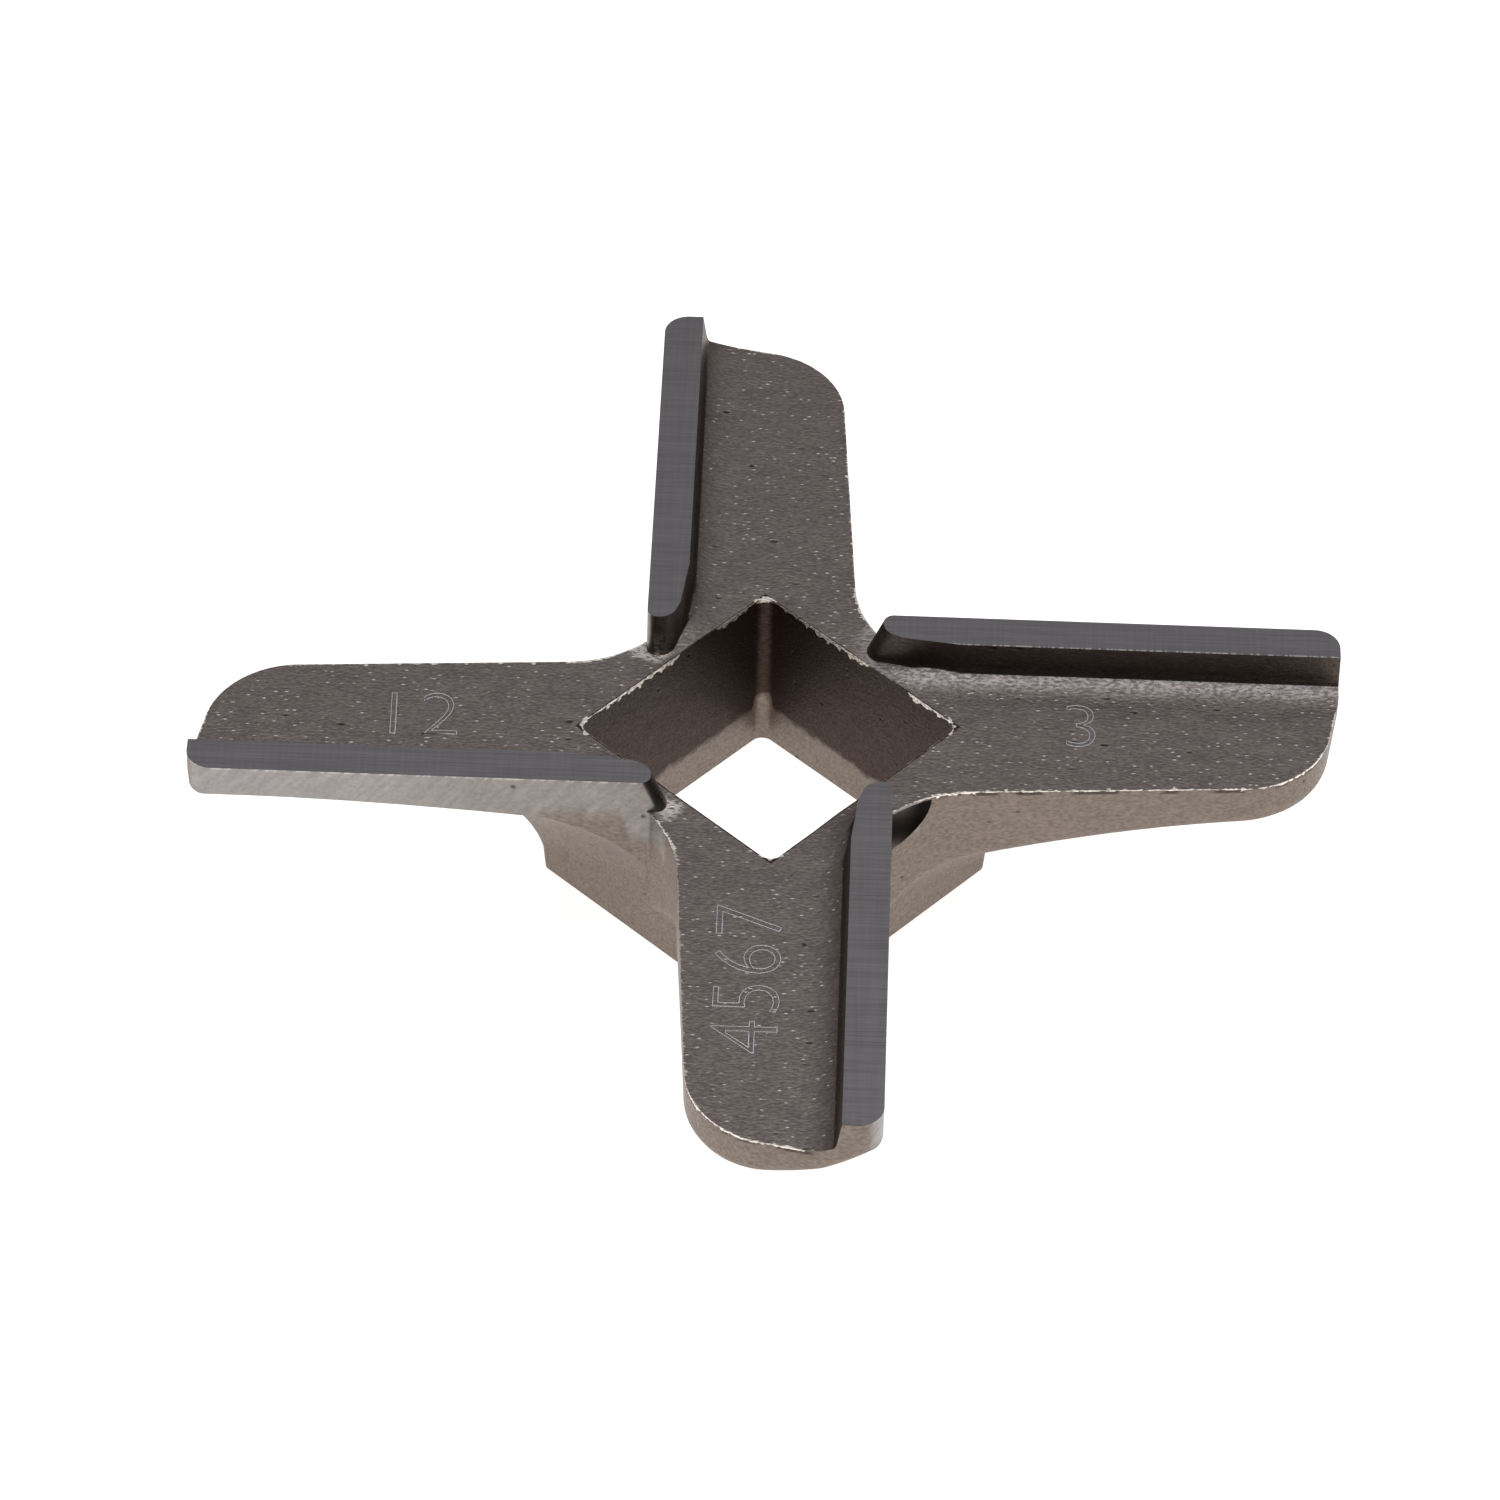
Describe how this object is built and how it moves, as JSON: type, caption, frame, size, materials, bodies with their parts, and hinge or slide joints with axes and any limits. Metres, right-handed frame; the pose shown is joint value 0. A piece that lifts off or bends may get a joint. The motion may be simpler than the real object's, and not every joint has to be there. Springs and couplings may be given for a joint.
{
  "type": "meat grinder knife",
  "caption": "Cross shaped cast knife with ground ridges that cuts meat against the hole plate of a grinder, driven through a square bore in its hub.",
  "frame": {"origin": "on the bore axis at the bottom face of the hub, which is the face that rests", "axes": "+Z along the bore axis from the hub towards the ground ridges; +X along the first arm; the cutting face of that arm looks towards +Y"},
  "size_m": [0.054, 0.054, 0.0112],
  "materials": {
    "cast_steel": "sandy cast skin, brownish grey, with satin ground cutting ridges and cutting faces"
  },
  "bodies": {
    "root": {"cross_knife": "cast_steel"}
  },
  "joints": []
}
